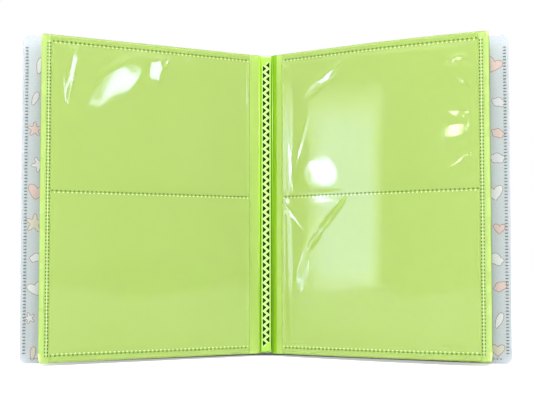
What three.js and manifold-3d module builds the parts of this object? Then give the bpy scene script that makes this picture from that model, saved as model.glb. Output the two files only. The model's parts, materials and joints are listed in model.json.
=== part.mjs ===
// Photo card album with a soft film cover and ten pocket leaves, standing open in a V.
// Millimetres, +Z up. The origin is on the floor under the middle of the spine.
// The album opens towards -Y, and the spine runs up along +Z.

import * as THREE from 'three';
import { mergeGeometries, mergeVertices } from 'three/addons/utils/BufferGeometryUtils.js';
import Module from 'manifold-3d';

const wasm = await Module();
wasm.setup();

// Driving dimensions: pockets and leaves
const pocketWidth = 94.4;
const upperPocketHeight = 63;
const lowerPocketHeight = 68.6;
const seamMargin = 2.7; // from a page's top or bottom edge to its pocket seam
const mouthInset = 5.3; // bare sheet between the binding and the pockets' open ends
const rimWidth = 4.3; // folded and welded outer edge of a leaf
const pageCornerRadius = 1.6;
const sheetThickness = 0.25;
const filmThickness = 0.12;
const pocketSpace = 0.12; // between the sheet and each pocket film
const weldSpace = 0.05; // between the sheet and a film where they are welded
const seamWidth = 1.1;
const rimGap = 0.12; // between a film's outer edge and the folded rim
const leavesPerSide = 5;
const leafTuck = 1.05; // each leaf further back loses this much of its bare width to the binding
const bowRise = 3.2; // how far the right-hand page in front bows towards the reader
const bowShape = [
  [0, 0],
  [0.03, 0.11],
  [0.1, 0.25],
  [0.2, 0.47],
  [0.3, 0.67],
  [0.43, 0.9],
  [0.58, 1],
  [0.72, 0.91],
  [0.86, 0.66],
  [1, 0.31],
]; // shares of the page's width and of the bow's rise
const pageLift = 0.8; // the same page has slipped up by this much at its outer edge
const bowSteps = 16;

// Driving dimensions: binding
const stripWidth = 4.4;
const stripInset = 1; // the strip is this much shorter than the pages at each end
const stripProud = 0.8; // how far the strip's face lies in front of the front leaves' hinge line
const notchPitch = 3.24;
const notchBase = 2.3;
const notchReach = 1.45;
const notchDepth = 0.4;
const notchEdge = 0.65; // from the strip's side to the notches
const hingeClearance = 0.15; // between a turning leaf's end and the strip
const leafClearance = 0.19; // between leaves that lie parallel
const leafStep = 1.3; // from one rear leaf's hinge line to the next, front to back
const firstLeafDepth = 2.7; // from the cover's middle plane to the rearmost leaf's hinge line
const sharedHingeLeaves = 3; // the front leaves of each side turn about one line
const middleThickness = 0.5; // of a rear sheet's welded middle
const layerGap = 0.3; // between the strip and the middle behind it
const middleReach = 0.3; // from the end sheet's middle to the closed cover

// Driving dimensions: cover
const coverOverhang = 1.5; // cover beyond the pages at top and bottom
const coverWidth = 106.7; // from the crease to the outer edge
const coverThickness = 0.6;
const coverCornerRadius = 3;
const creaseGap = 0.35; // from the crease line to the film on either side
const flapWidth = 60;
const flapThickness = 0.15;
const flapWeldWidth = 2.4;
const flapSeat = 0.06; // between the flap's weld and the cover
const endSheetThickness = 0.25;
const sleeveGap = 0.12; // on each face of the end sheet in its sleeve
const endSheetStart = 1.2; // from the crease to the end sheet
const endSheetMargin = 0.5; // between the end sheet and the sleeve's top and bottom welds
const slideRoom = 7; // for the end sheet to slide outwards as the album closes
const coverLeafClearance = 0.2; // between the closed cover and its rearmost leaf

// Pose: angles from the spine's plane, in degrees
const coverAngle = 26;
const leafFan = 0.75; // between one leaf and the next

// Curve fineness
const cornerSegments = 5;

// Sizes that follow from the driving dimensions
const pageHeight = upperPocketHeight + lowerPocketHeight + 2 * seamMargin;
const pageWidth = mouthInset + pocketWidth + rimWidth;
const coverHeight = pageHeight + 2 * coverOverhang;
const pageBottom = coverOverhang;
const filmFace = sheetThickness / 2 + pocketSpace + filmThickness;
const leafThickness = 2 * filmFace;
const leafPitch = leafThickness + leafClearance;
const flapBack = coverThickness / 2 + 2 * sleeveGap + endSheetThickness;
const flapFront = flapBack + flapThickness;

// Hinge lines of the leaves, as distances from the middle plane and from the spine
const frontHingeReach = (sharedHingeLeaves - 1) / 2 * leafPitch;
const rearLeaves = leavesPerSide - sharedHingeLeaves;
const frontHingeX = stripWidth / 2 + hingeClearance + frontHingeReach + leafThickness / 2;
const frontHingeDepth = firstLeafDepth + rearLeaves * leafStep + frontHingeReach;
const rearHingeX = frontHingeX + frontHingeReach + rearLeaves * leafPitch;
const creaseX = rearHingeX + leafThickness / 2 + coverLeafClearance + flapFront;
const stripFront = frontHingeDepth + stripProud;
const lastRearDepth = firstLeafDepth + (rearLeaves - 1) * leafStep;
const stripBack = lastRearDepth + middleThickness / 2 + layerGap;
const endMiddleDepth = firstLeafDepth / 2;
const endMiddleHalf = creaseX - coverThickness / 2 - middleReach;

// Where leaf number n (1 is the rearmost) has its hinge line and its plane
function leafPlace(n) {
  if (n > rearLeaves) {
    const middleLeaf = rearLeaves + (sharedHingeLeaves + 1) / 2;
    return { x: frontHingeX, depth: frontHingeDepth, offset: (n - middleLeaf) * leafPitch };
  }
  const stepsBack = rearLeaves - n + 1;
  return {
    x: frontHingeX + frontHingeReach + stepsBack * leafPitch,
    depth: firstLeafDepth + (n - 1) * leafStep,
    offset: 0,
  };
}

// Turns a geometry's shape-plane axes into outward, front-to-back and up
const plateTurn = new THREE.Matrix4().makeRotationX(Math.PI / 2);
const sectionTurn = new THREE.Matrix4().makeBasis(
  new THREE.Vector3(0, 1, 0),
  new THREE.Vector3(0, 0, 1),
  new THREE.Vector3(1, 0, 0),
);

// A flat outline with square inner corners and rounded outer ones
function plateOutline(inner, outer, bottom, top, radius) {
  const shape = new THREE.Shape();
  shape.moveTo(inner, bottom);
  shape.lineTo(outer - radius, bottom);
  shape.absarc(outer - radius, bottom + radius, radius, -Math.PI / 2, 0, false);
  shape.lineTo(outer, top - radius);
  shape.absarc(outer - radius, top - radius, radius, 0, Math.PI / 2, false);
  shape.lineTo(inner, top);
  shape.closePath();
  return shape;
}

// A plate from an outline of outward distance and height, between two distances from its plane
function plate(shape, low, high) {
  const depth = high - low;
  const settings = { depth, bevelEnabled: false, curveSegments: cornerSegments };
  const geometry = new THREE.ExtrudeGeometry(shape, settings);
  geometry.applyMatrix4(plateTurn);
  geometry.translate(0, high, 0);
  return geometry;
}

// A plate on the front (+1) or the back (-1) of a plane
function sidePlate(shape, near, far, facing) {
  return facing > 0 ? plate(shape, near, far) : plate(shape, -far, -near);
}

function toSolid(geometry) {
  const bare = geometry.clone();
  bare.deleteAttribute('normal');
  bare.deleteAttribute('uv');
  const merged = mergeVertices(bare, 1e-4);
  return new wasm.Manifold(new wasm.Mesh({
    numProp: 3,
    vertProperties: new Float32Array(merged.attributes.position.array),
    triVerts: new Uint32Array(merged.index.array),
  }));
}

function toGeometry(solid) {
  const mesh = solid.getMesh();
  const geometry = new THREE.BufferGeometry();
  geometry.setAttribute('position', new THREE.BufferAttribute(new Float32Array(mesh.vertProperties), 3));
  geometry.setIndex(new THREE.BufferAttribute(new Uint32Array(mesh.triVerts), 1));
  geometry.computeVertexNormals();
  return geometry;
}

function named(name, geometry, look) {
  const mesh = new THREE.Mesh(geometry, new THREE.MeshStandardMaterial(look));
  mesh.name = name;
  return mesh;
}

const coverLook = { color: 0xcfdcdd, roughness: 0.42, metalness: 0 };
const flapLook = { color: 0xdbe5e6, roughness: 0.25, metalness: 0, transparent: true, opacity: 0.6 };
const sheetLook = { color: 0xa4d241, roughness: 0.4, metalness: 0 };
const filmLook = { color: 0xe9f7cf, roughness: 0.08, metalness: 0, transparent: true, opacity: 0.3 };
const stripLook = { color: 0x9ccb3c, roughness: 0.4, metalness: 0 };

// Spine film, between the two creases
function spinePanel() {
  const half = creaseX - creaseGap;
  const shape = new THREE.Shape();
  shape.moveTo(-half, 0);
  shape.lineTo(half, 0);
  shape.lineTo(half, coverHeight);
  shape.lineTo(-half, coverHeight);
  shape.closePath();
  return plate(shape, -coverThickness / 2, coverThickness / 2);
}

// Middle of a rear sheet, which crosses behind the strip from one leaf to the other
function sheetMiddle(half, depth) {
  const geometry = new THREE.BoxGeometry(2 * half, middleThickness, pageHeight);
  geometry.translate(0, -depth, pageBottom + pageHeight / 2);
  return geometry;
}

// Welded middles of the front sheets, with two columns of three-sided notches that leave a zigzag
function bindingSeam() {
  const half = stripWidth / 2;
  const block = new THREE.BoxGeometry(stripWidth, stripFront - stripBack, pageHeight - 2 * stripInset);
  block.translate(0, -(stripFront + stripBack) / 2, pageBottom + pageHeight / 2);
  const count = Math.floor((pageHeight - 2 * seamMargin - notchPitch / 2) / notchPitch);
  const columnHeight = (count + 0.5) * notchPitch;
  const columnStart = pageBottom + (pageHeight - columnHeight) / 2;
  const notches = [];
  for (let i = 0; i < count; i += 1) {
    for (const side of [-1, 1]) {
      const stagger = side > 0 ? notchPitch / 2 : 0;
      const middle = columnStart + stagger + (i + 0.5) * notchPitch;
      const base = side * (half - notchEdge);
      const shape = new THREE.Shape();
      shape.moveTo(base, middle - notchBase / 2);
      shape.lineTo(base - side * notchReach, middle);
      shape.lineTo(base, middle + notchBase / 2);
      shape.closePath();
      notches.push(plate(shape, -stripFront - notchDepth, -stripFront + notchDepth));
    }
  }
  return toGeometry(toSolid(block).subtract(toSolid(mergeGeometries(notches))));
}

// Cover film of one side, in the side's own frame: outwards from the crease, front to back, up
function coverPanel() {
  const shape = plateOutline(creaseGap, coverWidth, 0, coverHeight, coverCornerRadius);
  return plate(shape, -coverThickness / 2, coverThickness / 2);
}

// Sleeve film, welded to the cover along its outer, top and bottom edges
function coverFlap(facing) {
  const inner = coverWidth - flapWidth;
  const outline = plateOutline(inner, coverWidth, 0, coverHeight, coverCornerRadius);
  const film = sidePlate(outline, coverThickness / 2 + flapSeat, flapFront, facing);
  const pocket = new THREE.Shape();
  pocket.moveTo(inner - flapWeldWidth, flapWeldWidth);
  pocket.lineTo(coverWidth - flapWeldWidth, flapWeldWidth);
  pocket.lineTo(coverWidth - flapWeldWidth, coverHeight - flapWeldWidth);
  pocket.lineTo(inner - flapWeldWidth, coverHeight - flapWeldWidth);
  pocket.closePath();
  const room = sidePlate(pocket, 0, flapBack, facing);
  return toGeometry(toSolid(film).subtract(toSolid(room)));
}

// Outermost sheet of the booklet, tucked into the cover's sleeve
function endSheet(facing) {
  const outer = coverWidth - flapWeldWidth - slideRoom;
  const bottom = flapWeldWidth + endSheetMargin;
  const shape = plateOutline(endSheetStart, outer, bottom, coverHeight - bottom, pageCornerRadius);
  const near = coverThickness / 2 + sleeveGap;
  const far = near + endSheetThickness;
  return sidePlate(shape, near, far, facing);
}

// Rise of the bowed page over its plane, at a distance outwards from its hinge line
function bowAt(outward) {
  const place = Math.min(Math.max(outward / pageWidth, 0), 1);
  const i = bowShape.findIndex(([end], index) => index > 0 && place <= end);
  const [start, startShare] = bowShape[i - 1];
  const [end, endShare] = bowShape[i];
  return bowRise * (startShare + (endShare - startShare) * (place - start) / (end - start));
}

// Bends a flat piece of a leaf to the bowed page
function bowed(geometry, facing) {
  const place = geometry.attributes.position;
  for (let i = 0; i < place.count; i += 1) {
    const outward = place.getX(i);
    place.setY(i, place.getY(i) + facing * bowAt(outward));
    place.setZ(i, place.getZ(i) + pageLift * outward / pageWidth);
  }
  geometry.computeVertexNormals();
  return geometry;
}

// Sheet of the bowed page: a band in steps from the binding to the rim, and the rim
function bowedSheet(facing) {
  const section = new THREE.Shape();
  section.moveTo(-sheetThickness / 2, pageBottom);
  section.lineTo(sheetThickness / 2, pageBottom);
  section.lineTo(sheetThickness / 2, pageBottom + pageHeight);
  section.lineTo(-sheetThickness / 2, pageBottom + pageHeight);
  section.closePath();
  const depth = pageWidth - rimWidth / 2;
  const band = new THREE.ExtrudeGeometry(section, { depth, bevelEnabled: false, steps: bowSteps });
  band.applyMatrix4(sectionTurn);
  const top = pageBottom + pageHeight;
  const edge = plateOutline(pageWidth - rimWidth, pageWidth, pageBottom, top, pageCornerRadius);
  const rim = plate(edge, -filmFace, filmFace);
  return toGeometry(toSolid(bowed(band, facing)).add(toSolid(bowed(rim, facing))));
}

// Sheet of one leaf, with its folded outer rim at the leaf's full thickness
function leafSheet(tuck) {
  const bottom = pageBottom;
  const top = pageBottom + pageHeight;
  const outer = pageWidth - tuck;
  const whole = plateOutline(0, outer, bottom, top, pageCornerRadius);
  const sheet = plate(whole, -sheetThickness / 2, sheetThickness / 2);
  const edge = plateOutline(outer - rimWidth, outer, bottom, top, pageCornerRadius);
  const rim = plate(edge, -filmFace, filmFace);
  return toGeometry(toSolid(sheet).add(toSolid(rim)));
}

// Pocket film of one face of a leaf: it dips to the sheet at its top, middle and bottom seams
function pocketFilm(facing, tuck, steps) {
  const low = sheetThickness / 2 + weldSpace;
  const high = sheetThickness / 2 + pocketSpace;
  const bottom = pageBottom;
  const top = pageBottom + pageHeight;
  const seams = [bottom + seamMargin, bottom + seamMargin + lowerPocketHeight, top - seamMargin];
  const path = [[high, bottom]];
  for (const seam of seams) {
    path.push([high, seam - seamWidth]);
    path.push([low, seam - seamWidth / 2]);
    path.push([low, seam + seamWidth / 2]);
    path.push([high, seam + seamWidth]);
  }
  path.push([high, top]);
  const shape = new THREE.Shape();
  path.forEach(([height, z], i) => {
    if (i === 0) {
      shape.moveTo(facing * height, z);
    } else {
      shape.lineTo(facing * height, z);
    }
  });
  for (const [height, z] of path.reverse()) {
    shape.lineTo(facing * (height + filmThickness), z);
  }
  shape.closePath();
  const depth = pageWidth - rimWidth - rimGap - mouthInset;
  const geometry = new THREE.ExtrudeGeometry(shape, { depth, bevelEnabled: false, steps });
  geometry.applyMatrix4(sectionTurn);
  geometry.translate(mouthInset - tuck, 0, 0);
  return geometry;
}

// A group whose own X runs outwards from a vertical line at an angle from the spine's plane
function turned(side, x, depth, angle) {
  const group = new THREE.Group();
  const radians = THREE.MathUtils.degToRad(angle);
  group.position.set(side * x, -depth, 0);
  group.rotation.z = side > 0 ? -radians : Math.PI + radians;
  return group;
}

const album = new THREE.Group();
album.name = 'photo_card_album';

const spine = new THREE.Group();
spine.add(named('spine_panel', spinePanel(), coverLook));
spine.add(named('end_sheet_middle', sheetMiddle(endMiddleHalf, endMiddleDepth), sheetLook));
for (let n = 1; n <= rearLeaves; n += 1) {
  const place = leafPlace(n);
  const half = place.x - leafThickness / 2 - hingeClearance;
  spine.add(named(`leaf_${n}_middle`, sheetMiddle(half, place.depth), sheetLook));
}
spine.add(named('binding_seam', bindingSeam(), stripLook));
album.add(spine);

// The left half lies inside the front cover and the right half inside the back cover
for (const half of [
  { side: -1, cover: 'front', leaf: 'left' },
  { side: 1, cover: 'back', leaf: 'right' },
]) {
  const facing = -half.side; // the own Y that points to the reader
  const cover = turned(half.side, creaseX, 0, coverAngle);
  cover.add(named(`${half.cover}_cover_panel`, coverPanel(), coverLook));
  cover.add(named(`${half.cover}_flap`, coverFlap(facing), flapLook));
  cover.add(named(`${half.cover}_end_sheet`, endSheet(facing), sheetLook));
  album.add(cover);

  for (let n = 1; n <= leavesPerSide; n += 1) {
    const place = leafPlace(n);
    const leaf = turned(half.side, place.x, place.depth, coverAngle + n * leafFan);
    const stack = new THREE.Group();
    stack.position.y = facing * place.offset;
    const name = `${half.leaf}_leaf_${n}`;
    const tuck = (leavesPerSide - n) * leafTuck;
    if (half.side > 0 && n === leavesPerSide) {
      stack.add(named(`${name}_sheet`, bowedSheet(facing), sheetLook));
      stack.add(named(`${name}_front_film`, bowed(pocketFilm(facing, tuck, bowSteps), facing), filmLook));
      stack.add(named(`${name}_back_film`, bowed(pocketFilm(-facing, tuck, bowSteps), facing), filmLook));
    } else {
      stack.add(named(`${name}_sheet`, leafSheet(tuck), sheetLook));
      stack.add(named(`${name}_front_film`, pocketFilm(facing, tuck, 1), filmLook));
      stack.add(named(`${name}_back_film`, pocketFilm(-facing, tuck, 1), filmLook));
    }
    leaf.add(stack);
    album.add(leaf);
  }
}

export default album;
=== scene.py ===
# %% [markdown]
# # A photo card album that stands open
#
# The album is a soft pale cover round ten lime green leaves, with clear pockets on both faces
# of each leaf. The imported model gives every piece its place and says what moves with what.
# This lesson dresses it: bulging pocket film, weld marks, a printed cover and a studio.

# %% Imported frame
import json
import math
import random
from functools import lru_cache

import bmesh
import bpy
from mathutils import Matrix, Vector, noise


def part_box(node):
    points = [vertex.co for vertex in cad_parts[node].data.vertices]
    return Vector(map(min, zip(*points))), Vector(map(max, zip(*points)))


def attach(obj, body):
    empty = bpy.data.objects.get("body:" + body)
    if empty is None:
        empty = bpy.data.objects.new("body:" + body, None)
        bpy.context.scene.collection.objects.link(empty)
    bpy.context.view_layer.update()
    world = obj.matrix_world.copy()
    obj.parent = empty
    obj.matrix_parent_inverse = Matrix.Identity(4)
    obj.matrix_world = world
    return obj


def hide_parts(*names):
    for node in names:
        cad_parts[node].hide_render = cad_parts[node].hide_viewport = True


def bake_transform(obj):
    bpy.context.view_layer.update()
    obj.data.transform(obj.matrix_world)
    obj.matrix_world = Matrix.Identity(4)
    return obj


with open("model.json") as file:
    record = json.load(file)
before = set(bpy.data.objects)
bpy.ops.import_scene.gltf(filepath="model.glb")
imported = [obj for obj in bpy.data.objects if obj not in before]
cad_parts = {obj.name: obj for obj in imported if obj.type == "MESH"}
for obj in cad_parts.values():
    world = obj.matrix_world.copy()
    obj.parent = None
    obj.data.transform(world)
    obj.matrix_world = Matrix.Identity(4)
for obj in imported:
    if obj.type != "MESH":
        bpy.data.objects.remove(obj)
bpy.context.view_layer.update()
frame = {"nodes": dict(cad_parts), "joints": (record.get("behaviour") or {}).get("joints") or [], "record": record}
print("packed nodes:", len(frame["nodes"]))

# %% [markdown]
# Sizes are in metres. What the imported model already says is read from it: the hinge lines from
# the joints, the heights from the boxes of the nodes, and the cover's angle from the face that
# the closed album rests on. Only what the model can't tell is written here.

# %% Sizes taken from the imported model
MM = 0.001
joints = {joint["name"]: joint for joint in frame["joints"]}
mounts = {mount["name"]: mount for mount in frame["record"]["mounts"]}

low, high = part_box("left_leaf_5_sheet")
PAGE_BOTTOM = low.z
PAGE_TOP = high.z
COVER_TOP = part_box("front_cover_panel")[1].z
CREASE_X = joints["back_cover_hinge"]["pos_m"][0]
COVER_ANGLE = math.asin(mounts["back_cover_outside"]["axis"][0])
STRIP_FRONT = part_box("binding_seam")[0].y
print("crease at:", round(CREASE_X, 4), "cover angle:", round(math.degrees(COVER_ANGLE), 1))

# %% Sizes that the model does not hold
LEAVES = 5
LEAF_FAN = math.radians(0.75)
SHARED_HINGE_FROM = 3
LEAF_PITCH = 0.92 * MM
PAGE_WIDTH = 104 * MM
LEAF_TUCK = 1.05 * MM
RIM_WIDTH = 4.3 * MM
RIM_THICKNESS = 0.73 * MM
SHEET_THICKNESS = 0.25 * MM
FILM_THICKNESS = 0.1 * MM
FILM_SEAT = 0.04 * MM
MOUTH = 5.3 * MM
SEAM_MARGIN = 2.7 * MM
LOWER_POCKET = 68.6 * MM
COVER_WIDTH = 106.7 * MM
COVER_THICKNESS = 0.6 * MM
CREASE_GAP = 0.35 * MM
FLAP_WIDTH = 60 * MM
FLAP_FRONT = 0.94 * MM

BOTTOM_SEAM = PAGE_BOTTOM + SEAM_MARGIN
MIDDLE_SEAM = BOTTOM_SEAM + LOWER_POCKET
TOP_SEAM = PAGE_TOP - SEAM_MARGIN
SEAMS = (BOTTOM_SEAM, MIDDLE_SEAM, TOP_SEAM)
print("page height:", round(PAGE_TOP - PAGE_BOTTOM, 4))
print("seams at:", [round(z, 4) for z in SEAMS])

# %% [markdown]
# A leaf or a cover half is easiest to shape lying flat: outwards from its hinge line, up its
# height, and towards the reader. One matrix then stands it in its place. The right half is the
# left one's mirror image, so its faces turn inside out and get their normals recalculated.

# %% Standing a flat piece in its place
SIDES = {"left": -1, "right": 1}
COVERS = {"left": "front", "right": "back"}


def stand(side, hinge_x, hinge_y, angle):
    out = Vector((side * math.cos(angle), -math.sin(angle), 0))
    front = Vector((-side * math.sin(angle), -math.cos(angle), 0))
    turn = Matrix((out, front, (0, 0, 1))).transposed().to_4x4()
    return Matrix.Translation((side * hinge_x, hinge_y, 0)) @ turn


def stand_leaf(half, number):
    kind = "swing" if number <= SHARED_HINGE_FROM else "turn"
    hinge = joints[f"{half}_leaf_{number}_{kind}"]["pos_m"]
    place = stand(SIDES[half], abs(hinge[0]), hinge[1], COVER_ANGLE + number * LEAF_FAN)
    if number < SHARED_HINGE_FROM:
        return place
    offset = (number - SHARED_HINGE_FROM - 1) * LEAF_PITCH
    return place @ Matrix.Translation((0, offset, 0))


def leaf_tuck(number):
    return (LEAVES - number) * LEAF_TUCK


def stand_cover(half):
    return stand(SIDES[half], CREASE_X, 0, COVER_ANGLE)


# %% [markdown]
# Every piece ends in the same way. Its normals are turned outwards and the mesh becomes an
# object at the origin. The piece is parented to an empty named for the body it rides on, and the
# imported node that it stands for is hidden. A blended piece only has its place baked in.

# %% Finishing a mesh as a piece of the album
def mesh_object(name, bm, materials):
    mesh = bpy.data.meshes.new(name)
    bm.to_mesh(mesh)
    bm.free()
    for material in materials:
        mesh.materials.append(material)
    made = bpy.data.objects.new(name, mesh)
    bpy.context.scene.collection.objects.link(made)
    return made


def new_verts(made):
    return [item for item in made["geom"] if isinstance(item, bmesh.types.BMVert)]


def finish_piece(name, bm, materials, body, hides=(), smooth=True, blend=None):
    bmesh.ops.recalc_face_normals(bm, faces=bm.faces)
    piece = mesh_object(name, bm, materials)
    faces = piece.data.polygons
    faces.foreach_set("use_smooth", [smooth] * len(faces))
    if blend:
        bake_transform(piece)
    else:
        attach(piece, body)
    if hides:
        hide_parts(*hides)
    return piece


# %% [markdown]
# The camera stands half a metre in front of the album, a little below the pages' middle, and
# tilts up. Its place comes early, because the shine of the films is planned from it.

# %% Place of the camera
CAMERA_PLACE = Vector((0.00336, -0.52143, 0.043))
CAMERA_PITCH = math.radians(3.17)
CAMERA_TURN = math.radians(0.354)
print("camera stands", round(CAMERA_PLACE.length, 3), "m from the spine's foot")

# %% [markdown]
# Three effects come back in several finishes, so each is a node group. Soft ripple is the slow
# waviness that any thin plastic film has. Colour drift lets a colour wander a little over the
# surface. Rub lifts the roughness in fine patches where hands and tables have touched it.
# The same nodes could be copied into each finish, but then a change has to be made ten times.

# %% Shared node groups
# Places of the share, the two colours and the result on a Mix node that is set to colours
MIX_SHARE, MIX_FIRST, MIX_SECOND, MIX_RESULT = 0, 6, 7, 2


def new_group(name, inputs, outputs):
    group = bpy.data.node_groups.new(name, "ShaderNodeTree")
    for label, kind, value in inputs:
        socket = group.interface.new_socket(name=label, in_out="INPUT", socket_type=kind)
        socket.default_value = value
    for label, kind in outputs:
        group.interface.new_socket(name=label, in_out="OUTPUT", socket_type=kind)
    start = group.nodes.new("NodeGroupInput")
    end = group.nodes.new("NodeGroupOutput")
    return group, group.links.new, start, end


def add_noise(group, start, detail):
    place = group.nodes.new("ShaderNodeTexCoord")
    cloud = group.nodes.new("ShaderNodeTexNoise")
    cloud.inputs["Detail"].default_value = detail
    group.links.new(place.outputs["Object"], cloud.inputs["Vector"])
    group.links.new(start.outputs["Scale"], cloud.inputs["Scale"])
    return cloud


def soft_ripple_group():
    group, link, start, end = new_group(
        "Soft ripple",
        [
            ("Scale", "NodeSocketFloat", 60.0),
            ("Strength", "NodeSocketFloat", 0.2),
            ("Depth", "NodeSocketFloat", 0.0003),
        ],
        [("Normal", "NodeSocketVector")],
    )
    slow = add_noise(group, start, 1.5)
    slow.inputs["Roughness"].default_value = 0.4
    bump = group.nodes.new("ShaderNodeBump")
    link(slow.outputs["Fac"], bump.inputs["Height"])
    link(start.outputs["Strength"], bump.inputs["Strength"])
    link(start.outputs["Depth"], bump.inputs["Distance"])
    link(bump.outputs["Normal"], end.inputs["Normal"])
    return group


def colour_drift_group():
    group, link, start, end = new_group(
        "Colour drift",
        [
            ("Colour", "NodeSocketColor", (0.5, 0.5, 0.5, 1.0)),
            ("Other", "NodeSocketColor", (0.5, 0.5, 0.5, 1.0)),
            ("Scale", "NodeSocketFloat", 20.0),
        ],
        [("Colour", "NodeSocketColor")],
    )
    cloud = add_noise(group, start, 2.0)
    mix = group.nodes.new("ShaderNodeMix")
    mix.data_type = "RGBA"
    link(cloud.outputs["Fac"], mix.inputs[MIX_SHARE])
    link(start.outputs["Colour"], mix.inputs[MIX_FIRST])
    link(start.outputs["Other"], mix.inputs[MIX_SECOND])
    link(mix.outputs[MIX_RESULT], end.inputs["Colour"])
    return group


def rub_group():
    group, link, start, end = new_group(
        "Rub",
        [
            ("Least", "NodeSocketFloat", 0.3),
            ("Most", "NodeSocketFloat", 0.5),
            ("Scale", "NodeSocketFloat", 90.0),
        ],
        [("Roughness", "NodeSocketFloat")],
    )
    patches = add_noise(group, start, 5.0)
    spread = group.nodes.new("ShaderNodeMapRange")
    spread.inputs["From Min"].default_value = 0.35
    spread.inputs["From Max"].default_value = 0.65
    link(patches.outputs["Fac"], spread.inputs["Value"])
    link(start.outputs["Least"], spread.inputs["To Min"])
    link(start.outputs["Most"], spread.inputs["To Max"])
    link(spread.outputs["Result"], end.inputs["Roughness"])
    return group


SOFT_RIPPLE = soft_ripple_group()
COLOUR_DRIFT = colour_drift_group()
RUB = rub_group()
print("node groups:", len(bpy.data.node_groups))

# %% [markdown]
# Everything on the album is soft plastic, so one function makes all its finishes. It takes two
# colours to drift between, the least and most roughness, and the size and strength of the
# ripple. Alpha and the index of refraction are plain numbers on the shader itself.

# %% A finish made from the shared groups
DRIFT_SCALE = 20


def new_material(name):
    material = bpy.data.materials.new(name)
    material.use_nodes = True
    nodes = material.node_tree.nodes
    return material, nodes, material.node_tree.links.new, nodes["Principled BSDF"]


def add_group(nodes, group, values):
    node = nodes.new("ShaderNodeGroup")
    node.node_tree = group
    for label, value in values.items():
        node.inputs[label].default_value = value
    return node


def plastic(name, colour, other, least, most, ripple_scale, ripple, alpha=1.0, ior=1.5):
    material, nodes, link, shader = new_material(name)
    shader.inputs["IOR"].default_value = ior
    shader.inputs["Alpha"].default_value = alpha
    colours = {"Colour": (*colour, 1), "Other": (*other, 1), "Scale": DRIFT_SCALE}
    drift = add_group(nodes, COLOUR_DRIFT, colours)
    rub = add_group(nodes, RUB, {"Least": least, "Most": most})
    wave = add_group(nodes, SOFT_RIPPLE, {"Scale": ripple_scale, "Strength": ripple})
    link(drift.outputs["Colour"], shader.inputs["Base Color"])
    link(rub.outputs["Roughness"], shader.inputs["Roughness"])
    link(wave.outputs["Normal"], shader.inputs["Normal"])
    return material


# %% [markdown]
# The lime sheets are tinted film with a soft shine, the pockets are clear film with a hard
# shine, and the welds are pressed dots where the two have melted together. Their dark green is
# partly that and partly painted shade of the pressed dent, and pale painted glints sit between.
# Clear film could be glass with full transmission, but thin film hardly bends the light. So it
# is a half transparent skin that carries a little of the lime of the sheet under it.

# %% Finishes
LIME = plastic("Lime sheet", (0.63, 0.86, 0.20), (0.66, 0.88, 0.23), 0.34, 0.46, 40, 0.15)
# The bend's lime is the bare sheet's fuller green with painted shade of the tight bend on it; the next finish is a
# deeper painted shade for the right-hand bend
BEND_LIME_WITH_PAINTED_SHADE = plastic("Lime bend with painted shade", (0.34, 0.69, 0.007), (0.38, 0.73, 0.010), 0.3, 0.4, 40, 0.15)
BEND_DEEPER_PAINTED_SHADE = plastic(
    "Painted deeper shade on the lime bend", (0.17, 0.36, 0.004), (0.20, 0.39, 0.006), 0.3, 0.4, 40, 0.15
)
STRIP_LIME = plastic("Lime binding", (0.52, 0.77, 0.25), (0.44, 0.70, 0.19), 0.32, 0.45, 200, 0.1)
RIM_LIME = plastic("Lime rim", (0.62, 0.82, 0.25), (0.67, 0.85, 0.30), 0.2, 0.34, 120, 0.2)
# Weld green is partly the melted weld's own colour and partly painted shade of the pressed dent
WELD_AND_PAINTED_SHADE = plastic("Weld green and painted shade", (0.045, 0.14, 0.003), (0.07, 0.19, 0.005), 0.3, 0.45, 300, 0.2)
# Pale, glossy marks whose colour is a painted glint of the puckered film between the welds
PAINTED_GLINT = plastic("Weld painted glint", (0.84, 0.95, 0.62), (0.74, 0.89, 0.48), 0.08, 0.2, 300, 0.2)
CLEAR = plastic(
    "Pocket film", (0.42, 0.59, 0.12), (0.46, 0.62, 0.16), 0.03, 0.07, 70, 0.06, alpha=0.5, ior=1.7
)
COVER = plastic("Cover film", (0.58, 0.61, 0.71), (0.61, 0.64, 0.74), 0.34, 0.46, 50, 0.2)
SLEEVE = plastic(
    "Sleeve film", (0.78, 0.83, 0.84), (0.82, 0.86, 0.87), 0.1, 0.18, 50, 0.2, alpha=0.16
)
COVER_WELD = plastic("Cover weld", (0.10, 0.115, 0.115), (0.16, 0.18, 0.18), 0.2, 0.3, 300, 0.2)

weld_shader = WELD_AND_PAINTED_SHADE.node_tree.nodes["Principled BSDF"]
weld_shader.inputs["Specular IOR Level"].default_value = 0.2
print("finishes:", len(bpy.data.materials))

# %% [markdown]
# The right-hand page in front has never been pressed flat. It comes out of the binding in a
# tight bend and bows towards the reader. The bow is a smooth curve through a few points: the
# share of the page's width, and the share of the full rise there. Everything on that page
# follows it, so that the sheet, the films and the welds stay together.

# %% The bow of the right-hand page
BOW_RISE = 3.2 * MM
BOW_SHAPE = (
    (0, 0), (0.03, 0.11), (0.1, 0.25), (0.2, 0.47), (0.3, 0.67),
    (0.43, 0.9), (0.58, 1), (0.72, 0.91), (0.86, 0.66), (1, 0.31),
)
PAGE_LIFT = 0.8 * MM


def is_bowed(half, number):
    return half == "right" and number == LEAVES


def knot_slope(index):
    before = BOW_SHAPE[max(0, index - 1)]
    after = BOW_SHAPE[min(len(BOW_SHAPE) - 1, index + 1)]
    return (after[1] - before[1]) / (after[0] - before[0])


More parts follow.
